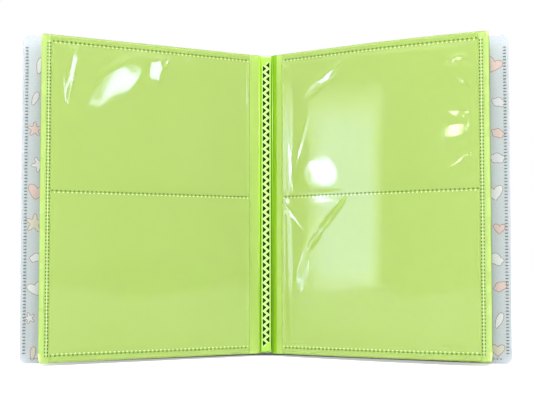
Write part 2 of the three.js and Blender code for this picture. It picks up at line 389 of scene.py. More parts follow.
@lru_cache(maxsize=None)
def page_bow(outward, half, number):
    if not is_bowed(half, number):
        return 0.0
    place = max(0.0, min(1.0, outward / PAGE_WIDTH))
    for index, (start, end) in enumerate(zip(BOW_SHAPE, BOW_SHAPE[1:])):
        if place <= end[0]:
            break
    width = end[0] - start[0]
    t = (place - start[0]) / width
    share = start[1] * (1 + 2 * t) * (1 - t) ** 2 + end[1] * t * t * (3 - 2 * t)
    share += knot_slope(index) * width * t * (1 - t) ** 2
    share -= knot_slope(index + 1) * width * t * t * (1 - t)
    return share * BOW_RISE


def place_on_leaf(bm, half, number):
    for vert in bm.verts:
        vert.co.y += page_bow(vert.co.x, half, number)
        if is_bowed(half, number):
            vert.co.z += PAGE_LIFT * vert.co.x / PAGE_WIDTH
        vert.co.x -= leaf_tuck(number)
    bmesh.ops.transform(bm, matrix=stand_leaf(half, number), verts=bm.verts)


def bow_slope(outward, half, number):
    step = 0.5 * MM
    after = page_bow(outward + step, half, number)
    return (after - page_bow(outward - step, half, number)) / (2 * step)


print("bow at 20 mm:", round(page_bow(20 * MM, "right", LEAVES) / MM, 2), "mm")

# %% [markdown]
# A leaf's sheet is a thin plate with a thicker folded rim at its outer edge. A box with a
# bevel would have no room for the rim's bead and groove. So the plate starts as a grid whose
# columns lie close together at the rim, and each column is set as far out as it asks: the
# flat band that is welded, a groove and a round bead. One fault is left in. The grid's normals
# are stale when solidify runs, so the second layer slides down in the same surface. The sheet
# gets no wall, lies where its back belongs, and its rim is hollow from the front. A call of
# normal_update() on the grid, before solidify, gives it its wall.

# %% Leaf sheets
# Millimetres from the inner edge of the rim, and share of the rim's full thickness
RIM_PROFILE = (
    (0.0, 0.0), (0.12, 0.8), (0.4, 0.85), (1.7, 0.85), (2.0, 0.35), (2.3, 0.9),
    (2.7, 1.0), (3.3, 1.0), (3.7, 0.85), (4.0, 0.6), (4.3, 0.2),
)
# Columns near the binding and rows near each end, in millimetres from that edge
NEAR_COLUMNS = (0.0, 0.4, 0.8, 1.3, 2.0, 3.0, 4.5, 6.5, 9.0)
END_ROWS = (0.0, 0.3, 0.8, 1.6, 4.0)
# First place, step and count of the evenly spaced ones between
PLAIN_COLUMNS = (14, 5.7, 15)
PLAIN_ROWS = (12, 11.3, 11)
CORNER = 1.6 * MM
BEND_REACH = 1.9 * MM
FILM_OUTER = PAGE_WIDTH - RIM_WIDTH
LEAF_NAMES = [(half, number) for half in SIDES for number in range(1, LEAVES + 1)]
LEAF_FACES = [(*leaf, face) for leaf in LEAF_NAMES for face in ("front", "back")]


def sheet_columns(number):
    first, step, count = PLAIN_COLUMNS
    columns = [leaf_tuck(number) + near * MM for near in NEAR_COLUMNS]
    columns += [(first + step * i) * MM for i in range(count)]
    return columns + [FILM_OUTER + point[0] * MM for point in RIM_PROFILE]


def sheet_rows():
    first, step, count = PLAIN_ROWS
    rows = [PAGE_BOTTOM + end * MM for end in END_ROWS]
    rows += [PAGE_BOTTOM + (first + step * i) * MM for i in range(count)]
    return rows + [PAGE_TOP - end * MM for end in reversed(END_ROWS)]


def half_thickness(outward):
    thin = SHEET_THICKNESS / 2
    step = (outward - FILM_OUTER) / MM
    for (start, low_share), (end, high_share) in zip(RIM_PROFILE, RIM_PROFILE[1:]):
        if start <= step <= end + 0.001:
            share = low_share + (high_share - low_share) * (step - start) / (end - start)
            return thin + share * (RIM_THICKNESS / 2 - thin)
    return thin


def round_corner(outward, height):
    centre_out = PAGE_WIDTH - CORNER
    centre_up = min(max(height, PAGE_BOTTOM + CORNER), PAGE_TOP - CORNER)
    reach = Vector((outward - centre_out, height - centre_up))
    if outward <= centre_out or reach.y == 0 or reach.length == 0:
        return outward, height
    square = max(abs(reach.x), abs(reach.y))
    reach = reach.normalized() * square
    return centre_out + reach.x, centre_up + reach.y


def flat_grid(columns, rows):
    bm = bmesh.new()
    bmesh.ops.create_grid(bm, x_segments=len(columns) - 1, y_segments=len(rows) - 1, size=1)
    for vert in bm.verts:
        column = round((vert.co.x + 1) / 2 * (len(columns) - 1))
        row = round((vert.co.y + 1) / 2 * (len(rows) - 1))
        vert.co = Vector((columns[column], 0, rows[row]))
    return bm


def leaf_sheet(half, number):
    bm = flat_grid(sheet_columns(number), sheet_rows())
    bmesh.ops.solidify(bm, geom=bm.faces[:], thickness=SHEET_THICKNESS)
    for vert in bm.verts:
        facing = -1 if abs(vert.co.y) < SHEET_THICKNESS / 2 else 1
        vert.co.y = facing * half_thickness(vert.co.x)
        vert.co.x, vert.co.z = round_corner(vert.co.x, vert.co.z)
    for face in bm.faces:
        outward = face.calc_center_median().x
        # Near the binding the bowed page takes the bend's lime, with its painted shade
        in_bend = is_bowed(half, number) and outward < BEND_REACH
        face.material_index = 2 if in_bend else int(outward > FILM_OUTER)
    place_on_leaf(bm, half, number)
    name = f"{half}_leaf_{number}"
    finishes = [LIME, RIM_LIME, BEND_LIME_WITH_PAINTED_SHADE]
    return finish_piece(f"{name}_plate", bm, finishes, name, [f"{name}_sheet"])


for half, number in LEAF_NAMES:
    leaf_sheet(half, number)
print("leaf sheets:", len(LEAF_NAMES))

# %% [markdown]
# Pocket film is a mirror. A small soft box shows in it as a white patch, and it can be planned
# on the page: from the patch's middle the line of sight is mirrored in the page, and the box
# goes where that mirrored line has run a good metre. Its half axes are found in the same way.
# White paint on the film would be quicker, but it would stay put when the page is turned.

# %% Soft boxes planned on the page
BOX_FAR = 1.15
# Half of the album, then middle, long half axis and short half axis in millimetres on the page
PATCHES = {
    "Box one": ("left", (70.5, 119.5), (-10.5, 8.5), (3.2, 4.0)),
    "Box two": ("right", (26, 82), (5.0, -2.0), (1.5, 6.0)),
    "Box three": ("right", (15.5, 36), (1.8, 13.0), (1.0, 0.0)),
    "Box four": ("right", (90.0, 97.5), (2.6, 0.3), (0.0, 1.9)),
}


def sight_on_page(half, outward, height):
    place = stand_leaf(half, LEAVES)
    lift = PAGE_LIFT * outward / PAGE_WIDTH if is_bowed(half, LEAVES) else 0.0
    point = place @ Vector((outward, page_bow(outward, half, LEAVES), height + lift))
    return place, point, (CAMERA_PLACE - point).normalized()


def mirrored(half, outward, height):
    place, point, sight = sight_on_page(half, outward, height)
    normal = place.to_3x3() @ Vector((-bow_slope(outward, half, LEAVES), 1, 0)).normalized()
    return point + BOX_FAR * (2 * normal.dot(sight) * normal - sight)


def box_on_page(patch):
    half, middle, *axes = patch
    spots = [middle]
    for across, up in axes:
        spots.append((middle[0] + across, middle[1] + up))
        spots.append((middle[0] - across, middle[1] - up))
    points = [mirrored(half, x * MM, z * MM) for x, z in spots]
    return points[0], points[1] - points[2], points[3] - points[4]


BOXES = {name: box_on_page(patch) for name, patch in PATCHES.items()}
for name, box in BOXES.items():
    print(name, "stands at", [round(v, 2) for v in box[0]])

# %% [markdown]
# Empty pockets are never flat. The film bulges a little between its welds and has two kinds of
# folds. A facet is a patch that has buckled to one side: it is turned so that it mirrors the
# nearest soft box, and shows as a white patch. A crease is a soft ridge along a short line.
# Noise alone gives folds of one kind in places that nobody chose, so these are listed one by one.
# The leaves behind press their film almost flat, so only the front pages have them.

# %% Folds of the pocket film, in millimetres on the page
# Facet: outward, height, half length, half width, turn in degrees
FACETS = {
    "left": (
        (70.5, 119.5, 14.5, 6.5, 141),
        (52.0, 127.5, 4.8, 3.0, 118),
        (47.0, 131.3, 1.8, 0.9, 140),
        (90.2, 125.5, 11.0, 1.3, 97),
    ),
    "right": (
        (9.6, 90, 11.0, 0.8, 97),
        (14.4, 92, 12.0, 0.9, 74),
        (26.0, 82, 9.5, 7.5, 165),
        (27.5, 124.5, 8.0, 1.5, 40),
        (90.0, 127.5, 3.6, 1.4, 14),
        (92.0, 118.5, 4.6, 0.8, 130),
        (90.0, 105.5, 5.6, 0.9, 170),
        (90.0, 97.5, 6.0, 3.0, 6),
        (91.0, 84.5, 4.8, 0.9, 35),
        (92.0, 76.2, 5.5, 0.8, 18),
        (11.5, 63.0, 7.0, 1.0, 130),
        (26.0, 57.0, 13.0, 1.1, 48),
        (15.5, 36, 15.0, 3.0, 81),
        (14.0, 7.0, 6.5, 0.7, 4),
        (89.0, 5.8, 4.5, 0.7, 172),
    ),
}
# Crease: outward and height of both ends, half width and rise
CREASES = {
    "left": (
        (36, 131, 21, 76, 1.6, 0.05),
        (93, 96, 24, 74, 4.5, 0.06),
        (88, 83, 60, 78, 2.5, 0.05),
        (95.5, 122, 94, 110, 0.9, 0.06),
        (92, 58, 20, 42, 6.0, 0.06),
        (60, 24, 22, 34, 4.0, 0.06),
        (95, 8, 20, 8.5, 1.6, 0.06),
        (48, 14, 26, 26, 3.5, 0.06),
        (97, 72, 60, 71.5, 1.6, 0.06),
    ),
    "right": (
        (60, 125, 78, 84, 7.0, 0.08),
        (82, 132, 95, 120, 3.5, 0.12),
        (70, 60, 95, 50, 5.0, 0.08),
        (66, 22, 94, 32, 5.0, 0.08),
        (30, 14, 90, 9, 2.4, 0.08),
        (95.0, 124, 96.5, 76, 1.0, 0.12),
        (7.4, 132, 7.0, 74, 0.7, 0.12),
        (9.0, 130, 9.4, 96, 0.7, 0.08),
        (8, 66, 9.5, 8, 0.8, 0.12),
        (14, 20, 60, 12, 4.5, 0.08),
    ),
}

# %% [markdown]
# The film's height over its sheet is a sum. A crown is full in the middle of a pocket and goes
# to nothing at the welds, a slow drift and the creases lie on it, and the pocket's mouth curls
# up. A facet replaces that height with its own tilted plane, which is what a fold does, and
# the whole fades out at the seams. Cloth simulation would put the folds where it liked.

# %% Height of the pocket film over the sheet
CROWN = 0.16 * MM
CROWN_POWER = 2.4
CROWN_STEEPNESS = 6
CROWN_EDGE_POWER = 0.7
PRESSED_CROWN = 0.07 * MM
MOUTH_LIFT = 0.45
MOUTH_RUN = 14 * MM
MOUTH_CURL = 0.35 * MM
CURL_RUN = 1.0 * MM
SLOW_DRIFT = 0.04 * MM
SLOW_SCALE = 45
FADE = 2.4 * MM
WELD_HALF = 0.5 * MM
FACET_LIFT = 0.01
FACET_WAVE = 0.035 * MM
WAVE_SCALE = 110
FACET_END = 1.6
FACET_FADE = 0.7


def eased(share):
    t = max(0.0, min(1.0, share))
    return t * t * (3 - 2 * t)


def nearest_box(half, spot):
    def gap(name):
        return math.dist(PATCHES[name][1], spot[0:2])

    own = [name for name in PATCHES if PATCHES[name][0] == half]
    return BOXES[min(own, key=gap)][0]


def facing_slopes(half, spot):
    outward, height = spot[0] * MM, spot[1] * MM
    place, point, sight = sight_on_page(half, outward, height)
    middle = (nearest_box(half, spot) - point).normalized() + sight
    own = place.to_3x3().inverted() @ middle
    return -own.x / own.y - bow_slope(outward, half, LEAVES), -own.z / own.y


def spot_reach(outward, height, spot):
    turn = math.radians(spot[4])
    across = outward / MM - spot[0]
    up = height / MM - spot[1]
    along = across * math.cos(turn) + up * math.sin(turn)
    aside = -across * math.sin(turn) + up * math.cos(turn)
    return math.hypot(along / spot[2], aside / spot[3]), across * MM, up * MM


def crease_height(outward, height, crease):
    start = Vector(crease[0:2]) * MM
    end = Vector(crease[2:4]) * MM
    width, rise = crease[4] * MM, crease[5] * MM
    along = end - start
    point = Vector((outward, height)) - start
    t = max(0.0, min(1.0, point.dot(along) / along.length_squared))
    gap = (point - along * t).length / width
    return rise * math.exp(-gap * gap / 2)


def pocket_crown(outward, height):
    if height <= BOTTOM_SEAM or height >= TOP_SEAM:
        return 0.0
    lower, upper = (BOTTOM_SEAM, MIDDLE_SEAM) if height < MIDDLE_SEAM else (MIDDLE_SEAM, TOP_SEAM)
    up = 1 - abs(2 * (height - lower) / (upper - lower) - 1) ** CROWN_POWER
    in_from_edge = (FILM_OUTER - outward) / (FILM_OUTER - MOUTH)
    across = min(1.0, in_from_edge * CROWN_STEEPNESS) ** CROWN_EDGE_POWER
    mouth = MOUTH_LIFT + (1 - MOUTH_LIFT) * min(1.0, (outward - MOUTH) / MOUTH_RUN)
    return up * across * mouth


def seam_fade(outward, height):
    if height < BOTTOM_SEAM or height > TOP_SEAM:
        return 0.0
    nearest = min(abs(height - seam) for seam in SEAMS)
    nearest = min(nearest, FILM_OUTER - outward)
    return eased((nearest - WELD_HALF) / FADE)


def calm_rise(outward, height, half, drift):
    rise = CROWN * pocket_crown(outward, height) + SLOW_DRIFT * (0.5 + drift)
    rise += sum(crease_height(outward, height, crease) for crease in CREASES[half])
    return rise + MOUTH_CURL * math.exp(-(outward - MOUTH) / CURL_RUN)


def planned_facets(half):
    plans = []
    for spot in FACETS[half]:
        outward, height = spot[0] * MM, spot[1] * MM
        level = calm_rise(outward, height, half, 0.0) + FACET_LIFT * MM * min(spot[2:4])
        bow = page_bow(outward, half, LEAVES), bow_slope(outward, half, LEAVES)
        plans.append((spot, facing_slopes(half, spot), level, bow))
    return plans


def film_rise(outward, height, half, number, facing, plans):
    fade = seam_fade(outward, height)
    layer = number + 3 * SIDES[half] + 7 * facing
    drift = noise.noise(Vector((outward * SLOW_SCALE, height * SLOW_SCALE, layer)))
    if number < LEAVES or facing < 0:
        return fade * PRESSED_CROWN * (pocket_crown(outward, height) + 0.5 + 0.5 * drift)
    rise = calm_rise(outward, height, half, drift)
    for spot, slopes, level, bow in plans:
        reach, across, up = spot_reach(outward, height, spot)
        if reach < FACET_END:
            bend = page_bow(outward, half, number) - bow[0] - bow[1] * across
            place = Vector((outward * WAVE_SCALE, height * WAVE_SCALE, 2.5))
            wave = FACET_WAVE * noise.noise(place)
            plane = level + slopes[0] * across + slopes[1] * up - bend + wave
            rise += eased((FACET_END - reach) / FACET_FADE) * (plane - rise)
    return fade * max(0.0, rise)


print("facets:", sum(map(len, FACETS.values())), "creases:", sum(map(len, CREASES.values())))

# %% Pocket film
HEM = 0.2 * MM
OUTER_GAP = 0.1 * MM
# Columns and rows of the front pages' films and of all the others
FINE_GRID = (170, 230)
PLAIN_GRID = (24, 36)


def spaced(start, end, count, stops=()):
    values = [start + (end - start) * i / count for i in range(count + 1)]
    for stop in stops:
        nearest = min(range(len(values)), key=lambda i: abs(values[i] - stop))
        values[nearest] = stop
    return values


def pocket_film(half, number, face):
    facing = 1 if face == "front" else -1
    fine = number == LEAVES and facing > 0
    across, up = FINE_GRID if fine else PLAIN_GRID
    columns = spaced(MOUTH, FILM_OUTER - OUTER_GAP, across)
    rows = spaced(PAGE_BOTTOM + HEM, PAGE_TOP - HEM, up, SEAMS)
    plans = planned_facets(half) if fine else ()
    seat = SHEET_THICKNESS / 2 + FILM_SEAT
    bm = flat_grid(columns, rows)
    for vert in bm.verts:
        vert.co.y = seat + film_rise(vert.co.x, vert.co.z, half, number, facing, plans)
    wall = bmesh.ops.extrude_face_region(bm, geom=bm.faces[:])
    for vert in new_verts(wall):
        vert.co.y += FILM_THICKNESS
    for vert in bm.verts:
        vert.co.y *= facing
    place_on_leaf(bm, half, number)
    name = f"{half}_leaf_{number}"
    hides = [f"{name}_{face}_film"]
    return finish_piece(f"{name}_{face}_pocket", bm, [CLEAR], name, hides)


for half, number, face in LEAF_FACES:
    pocket_film(half, number, face)
print("pocket films:", len(LEAF_FACES))

# %% [markdown]
# The welds are rows of small pressed marks. Their dark green is partly where the layers have
# melted together and partly painted shade of the pressed dent. Between them sit pale marks that
# are painted glints, where the film puckers up and catches the light. One mark is a shallow
# dome with eight sides, and a row is that dome copied along a line. Bump in the film's finish
# could draw the marks too, but it would be lost where only the mesh is used. The seams run from
# the rim to the pockets' open ends, and three columns of marks run down the rim: two dark ones
# and a middle one of painted glints.

# %% Weld marks on the leaves
SEAM_PITCH = 1.95 * MM
RIM_PITCH = 1.45 * MM
MARK_RISE = 0.06 * MM
SEAM_SINK = 0.005 * MM
RIM_SINK = 0.01 * MM
# Millimetres outwards, share of the pitch upwards, half length, half width, finish
# Finish 0 is the dark weld mark, finish 1 the painted glint
RIM_MARKS = ((0.42, 0, 0.26, 0.38, 0), (1.0, 0.5, 0.26, 0.5, 1), (1.62, 0, 0.2, 0.34, 0))
SEAM_START = 0.9 * MM
SEAM_MARK = (0.5 * MM, 0.4 * MM)
# The pale marks beside each seam are painted glints
PAINTED_GLINT_MARK = (0.4 * MM, 0.15 * MM)
PAINTED_GLINT_DROP = 0.68 * MM


def add_mark(bm, outward, height, level, facing, half_long, half_wide, finish=0):
    made = bmesh.ops.create_cone(
        bm, cap_ends=True, cap_tris=False, segments=8, radius1=1.0, radius2=0.55, depth=1.0
    )
    for vert in made["verts"]:
        x, y, z = vert.co
        level_here = level + (z + 0.5) * MARK_RISE
        vert.co = Vector((outward + x * half_long, facing * level_here, height + y * half_wide))
        for face in vert.link_faces:
            face.material_index = finish


def weld_marks(half, number, face):
    facing = 1 if face == "front" else -1
    bm = bmesh.new()
    film_top = SHEET_THICKNESS / 2 + FILM_SEAT + FILM_THICKNESS - SEAM_SINK
    rim_top = RIM_THICKNESS / 2 - RIM_SINK
    count = int((FILM_OUTER - MOUTH) / SEAM_PITCH)
    for seam in SEAMS:
        beside = seam - PAINTED_GLINT_DROP if seam > BOTTOM_SEAM else seam + PAINTED_GLINT_DROP
        for i in range(count):
            outward = FILM_OUTER - SEAM_START - i * SEAM_PITCH
            between = outward - 0.5 * SEAM_PITCH
            add_mark(bm, outward, seam, film_top, facing, *SEAM_MARK)
            add_mark(bm, between, beside, film_top, facing, *PAINTED_GLINT_MARK, finish=1)
    rows = int((TOP_SEAM - BOTTOM_SEAM) / RIM_PITCH)
    for i in range(rows + 1):
        for out, share, half_long, half_wide, finish in RIM_MARKS:
            outward = FILM_OUTER + out * MM
            height = BOTTOM_SEAM + i * RIM_PITCH + share * RIM_PITCH
            size = (half_long * MM, half_wide * MM)
            add_mark(bm, outward, height, rim_top, facing, *size, finish=finish)
    place_on_leaf(bm, half, number)
    name = f"{half}_leaf_{number}"
    return finish_piece(f"{name}_{face}_welds", bm, [WELD_AND_PAINTED_SHADE, PAINTED_GLINT], name)


for half, number, face in LEAF_FACES:
    welds = weld_marks(half, number, face)
print(welds.name, "has", len(welds.data.polygons), "faces")

# %% [markdown]
# Between the strip and each front page the sheet bends. On the left it just runs on. On the
# right it comes towards the reader first and is seen nearly edge on, so that it looks like a
# narrow saturated band. Both bends are painted darker than the rest of the sheet: the left one
# in a fuller lime that is the bare sheet's own green with painted shade on it, the right one in
# a deeper painted shade. The sheet's own grid ends at the hinge line, so each bend is a piece
# of its own: a short path, raised to the page's height and given a wall. It stays so close to
# the hinge line that it clears the strip when the page is turned.

# %% Bends beside the strip
def raised_wall(path, bottom, top, thickness):
    bm = bmesh.new()
    verts = [bm.verts.new((point.x, point.y, bottom)) for point in path]
    edges = [bm.edges.new(pair) for pair in zip(verts, verts[1:])]
    up = bmesh.ops.extrude_edge_only(bm, edges=edges)
    for vert in new_verts(up):
        vert.co.z = top
    bmesh.ops.recalc_face_normals(bm, faces=bm.faces)
    bmesh.ops.solidify(bm, geom=bm.faces[:], thickness=thickness)
    return bm


# Outwards and towards the reader, in millimetres from the middle of the spine
BEND_PATHS = {
    "left": ((2.35, 6.0), (2.7, 6.35), (3.3, 6.75)),
    "right": ((2.42, 6.65), (2.7, 6.95), (3.15, 7.2)),
}
BEND_WALL = 0.2 * MM
BEND_END = 0.1 * MM


def binding_bend(half):
    path = [Vector((SIDES[half] * x, -depth, 0)) * MM for x, depth in BEND_PATHS[half]]
    bm = raised_wall(path, PAGE_BOTTOM + BEND_END, PAGE_TOP - BEND_END, BEND_WALL)
    name = f"{half}_leaf_{LEAVES}"
    # The right-hand bend gets the deeper painted shade
    finish = BEND_LIME_WITH_PAINTED_SHADE if half == "left" else BEND_DEEPER_PAINTED_SHADE
    return finish_piece(f"{name}_bend", bm, [finish], name)


for half in SIDES:
    bend = binding_bend(half)
    print(bend.name, "has", len(bend.data.polygons), "faces")

# %% [markdown]
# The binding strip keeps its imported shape, notches and all. Its finish counts the notches up
# the strip and darkens each one and a narrow border round it, since thick, melted film is dark
# green there. Small dark plates in the notches would do it as well, but they would catch the
# light. The strip's own borders and ends are a fuller green, and its middle is pale. The
# sheets' middles behind it only need the lime finish.

# %% Binding strip
NOTCH_PITCH = 3.24 * MM
NOTCH_BASE_X = 1.55 * MM
NOTCH_BASE = 2.9 * MM
NOTCH_REACH = 1.75 * MM
NOTCH_START = PAGE_BOTTOM + 2.89 * MM
NOTCH_COUNT = 40
NOTCH_DARK = (0.003, 0.035, 0.001)
STRIP_FACE_DEPTH = 0.6 * MM
STRIP_SPECULAR = 0.12
STRIP_BORDER_X = 1.75 * MM
STRIP_BORDER = (0.32, 0.57, 0.075)


def strip_finish():
    material = STRIP_LIME.copy()
    material.name = "Lime binding with notches"
    nodes = material.node_tree.nodes
    link = material.node_tree.links.new
    shader = nodes["Principled BSDF"]
    shader.inputs["Specular IOR Level"].default_value = STRIP_SPECULAR
    tint = shader.inputs["Base Color"].links[0].from_socket

    def maths(operation, first, second=None):
        node = nodes.new("ShaderNodeMath")
        node.operation = operation
        for socket, value in zip(node.inputs, (first, second)):
            if isinstance(value, (int, float)):
                socket.default_value = value
            elif value is not None:
                link(value, socket)
        return node.outputs["Value"]

    place = nodes.new("ShaderNodeTexCoord")
    split = nodes.new("ShaderNodeSeparateXYZ")
    link(place.outputs["Object"], split.inputs["Vector"])
    across, depth, height = (split.outputs[axis] for axis in "XYZ")
    right = maths("MULTIPLY", maths("GREATER_THAN", across, 0.0), 0.5)
    steps = maths("DIVIDE", maths("SUBTRACT", height, NOTCH_START), NOTCH_PITCH)
    counted = maths("SUBTRACT", steps, right)
    off_middle = maths("SUBTRACT", maths("FRACT", counted), 0.5)
    from_middle = maths("MULTIPLY", maths("ABSOLUTE", off_middle), NOTCH_PITCH)
    side = maths("ABSOLUTE", across)
    inwards = maths("SUBTRACT", NOTCH_BASE_X, side)
    narrowing = maths("SUBTRACT", 1.0, maths("DIVIDE", inwards, NOTCH_REACH))
    room = maths("MULTIPLY", narrowing, NOTCH_BASE / 2)
    narrow = maths("LESS_THAN", from_middle, room)
    notch = maths("MULTIPLY", narrow, maths("GREATER_THAN", inwards, 0.0))
    below_last = maths("LESS_THAN", counted, NOTCH_COUNT)
    column = maths("MULTIPLY", maths("GREATER_THAN", counted, 0.0), below_last)
    front = maths("LESS_THAN", depth, STRIP_FRONT + STRIP_FACE_DEPTH)
    mask = maths("MULTIPLY", maths("MULTIPLY", notch, column), front)
    ends = maths("SUBTRACT", 1.0, column)
    border = maths("MAXIMUM", maths("GREATER_THAN", side, STRIP_BORDER_X), ends)
    for share, colour in ((border, STRIP_BORDER), (mask, NOTCH_DARK)):
        mix = nodes.new("ShaderNodeMix")
        mix.data_type = "RGBA"
        mix.inputs[MIX_SECOND].default_value = (*colour, 1)
        link(share, mix.inputs[MIX_SHARE])
        link(tint, mix.inputs[MIX_FIRST])
        tint = mix.outputs[MIX_RESULT]
    link(tint, shader.inputs["Base Color"])
    return material


def dress(node, material):
    mesh = frame["nodes"][node].data
    mesh.materials.clear()
    mesh.materials.append(material)


MIDDLES = ("end_sheet_middle", "leaf_1_middle", "leaf_2_middle")
END_SHEETS = ("front_end_sheet", "back_end_sheet")
COVER_FILMS = ("spine_panel", "front_cover_panel", "back_cover_panel")
SLEEVES = ("front_flap", "back_flap")

dress("binding_seam", strip_finish())
for nodes, finish in ((MIDDLES + END_SHEETS, LIME), (COVER_FILMS, COVER), (SLEEVES, SLEEVE)):
    for node in nodes:
        dress(node, finish)
    print("dressed with", finish.name + ":", len(nodes))

# %% [markdown]
# The cover is one film with two creases. The imported model keeps its three stretches apart, so
# a narrow bent strip of film closes each crease. A strip that rode on the spine alone would
# come off the cover half when it swings. This one is baked in place and rides on no body.

# %% Crease films
CREASE_STEPS = 6
CREASE_BULGE = 0.06 * MM
CREASE_SLACK = 0.04 * MM


def crease_film(half):
    side = SIDES[half]
    inner = Vector((side * (CREASE_X - CREASE_GAP), 0, 0))
    outer = Vector((side * CREASE_X, 0, 0)) + CREASE_GAP * Vector(
        (side * math.cos(COVER_ANGLE), -math.sin(COVER_ANGLE), 0)
    )
    path = []
    for i in range(CREASE_STEPS + 1):
        t = i / CREASE_STEPS
        point = inner.lerp(outer, t)
        path.append(Vector((point.x, point.y + CREASE_BULGE * math.sin(math.pi * t), 0)))
    bm = raised_wall(path, 0, COVER_TOP, COVER_THICKNESS - CREASE_SLACK)
    middle = sum((vert.co.y for vert in bm.verts), 0.0) / len(bm.verts)
    bmesh.ops.translate(bm, vec=(0, (inner.y + outer.y) / 2 - middle, 0), verts=bm.verts)
    name = f"{COVERS[half]}_crease_film"
    start = (side * (CREASE_X - CREASE_GAP), 0, 0)
    end = (side * (CREASE_X + CREASE_GAP), 0, 0)
    blend = (f"{COVERS[half]}_cover", start, end)
    return finish_piece(name, bm, [COVER], "spine", blend=blend)


for half in SIDES:
    film = crease_film(half)
    print(film.name, "has", len(film.data.polygons), "faces")

# %% [markdown]
# The cover carries a scattered print of small outlined shapes. The shapes here are plain ones:
# clouds, blossoms, stars, hearts and leaves. Each begins as a circle whose radius follows a
# short formula, an inset makes the thin outline, and an extrusion gives the ink a skin. A
# picture on the film could carry the print, but real shapes stay sharp close up. The inset is
# plain and not even, and the skin is pushed straight out, because sharp tips would grow spikes.

# %% Cover print
INK_FILLS = {
    "white": (0.90, 0.89, 0.94),
    "lilac": (0.80, 0.78, 0.88),
    "pink": (0.88, 0.58, 0.57),
    "beige": (0.80, 0.69, 0.55),
}
INKS = [
    plastic(f"Ink {name}", colour, tuple(0.96 * c for c in colour), 0.4, 0.5, 50, 0.1)
    for name, colour in INK_FILLS.items()
]
INKS.append(plastic("Ink outline", (0.32, 0.12, 0.13), (0.28, 0.10, 0.11), 0.4, 0.5, 50, 0.1))
OUTLINE_INK = len(INKS) - 1
INK_LIFT = 0.012 * MM
INK_SKIN = 0.02 * MM
INK_OUTLINE = 0.28 * MM
PRINT_PITCH = 13.5 * MM
INK_CHOICE = (0, 0, 0, 1, 1, 2, 2, 3)


def cloud(angle):
    puff = 0.86 + 0.2 * abs(math.sin(2.5 * angle + 0.4))
    return puff * math.cos(angle), 0.66 * puff * math.sin(angle)


def blossom(angle):
    petal = 0.66 + 0.34 * abs(math.cos(2.5 * angle))
    return petal * math.sin(angle), petal * math.cos(angle)


def star(angle):
    ray = 0.72 + 0.26 * math.cos(5 * angle)
    return ray * math.sin(angle), ray * math.cos(angle)


def heart(angle):
    across = 0.95 * math.sin(angle) ** 3
    up = 0.75 * math.cos(angle) - 0.3 * math.cos(2 * angle) - 0.12 * math.cos(3 * angle)
    return across, up


def leaf(angle):
    return 0.42 * math.sin(angle) * (1 + 0.25 * math.cos(angle)), math.cos(angle)


MOTIFS = (cloud, blossom, star, heart, leaf)


def add_motif(bm, motif, outward, height, size, turn, ink, level, facing):
    before = set(bm.faces)
    made = bmesh.ops.create_circle(bm, cap_ends=True, segments=40, radius=1.0)
    for vert in made["verts"]:
        angle = math.atan2(vert.co.y, vert.co.x)
        x, y = motif(angle)
        across = x * math.cos(turn) - y * math.sin(turn)
        up = x * math.sin(turn) + y * math.cos(turn)
        vert.co = Vector((outward + across * size, facing * level, height + up * size))
    bm.normal_update()
    fill = [face for face in bm.faces if face not in before]
    ring = bmesh.ops.inset_region(
        bm, faces=fill, thickness=INK_OUTLINE, use_boundary=True, use_even_offset=False
    )
    for face in fill:
        face.material_index = ink
    for face in ring["faces"]:
        face.material_index = OUTLINE_INK


def cover_print(half, face, seed):
    facing = 1 if face == "inside" else -1
    level = COVER_THICKNESS / 2 + INK_LIFT
    rng = random.Random(seed)
    bm = bmesh.new()
    columns = int(COVER_WIDTH / PRINT_PITCH)
    rows = int(COVER_TOP / PRINT_PITCH)
    for i in range(columns):
        for j in range(rows):
            size = rng.uniform(2.6, 4.4) * MM
            outward = COVER_WIDTH - size - (1.2 + rng.uniform(0, 2.5)) * MM - i * PRINT_PITCH
            height = (j + 0.35 + 0.5 * (i % 2)) * PRINT_PITCH + rng.uniform(-1.5, 1.5) * MM
            motif = rng.choice(MOTIFS)
            ink = rng.choice(INK_CHOICE)
            turn = rng.uniform(-0.5, 0.5)
            room = size + 1.0 * MM
            if outward < room + CREASE_GAP or not room < height < COVER_TOP - room:
                continue
            add_motif(bm, motif, outward, height, size, turn, ink, level, facing)
    skin = bmesh.ops.extrude_face_region(bm, geom=bm.faces[:])
    bmesh.ops.translate(bm, verts=new_verts(skin), vec=(0, facing * INK_SKIN, 0))
    bmesh.ops.recalc_face_normals(bm, faces=bm.faces)
    bmesh.ops.transform(bm, matrix=stand_cover(half), verts=bm.verts)
    name = f"{COVERS[half]}_cover"
    return finish_piece(f"{name}_{face}_print", bm, INKS, name, smooth=False)


PRINT_SEEDS = {"left": 3, "right": 11}
for half, seed in PRINT_SEEDS.items():
    for shift, face in enumerate(("inside", "outside")):
        printed = cover_print(half, face, seed + shift)
        print(printed.name, "has", len(printed.data.polygons), "faces")

# %% [markdown]
# The sleeve is welded to the cover by a column of short dashes along the outer edge and a row
# of dots along the bottom. They are pressed through two clear layers, so they look grey. The
# mark of the leaf's welds serves here too, in other sizes and in a grey finish.

# %% Cover welds
DASH_PITCH = 1.37 * MM
DASH_IN = 1.55 * MM
DASH_LONG = 0.8 * MM
DASH_WIDE = 0.25 * MM
ROW_UP = 2.1 * MM
ROW_PITCH = 1.5 * MM
DOT_LONG = DASH_WIDE * 1.4
WELD_MARGIN = 4.5 * MM


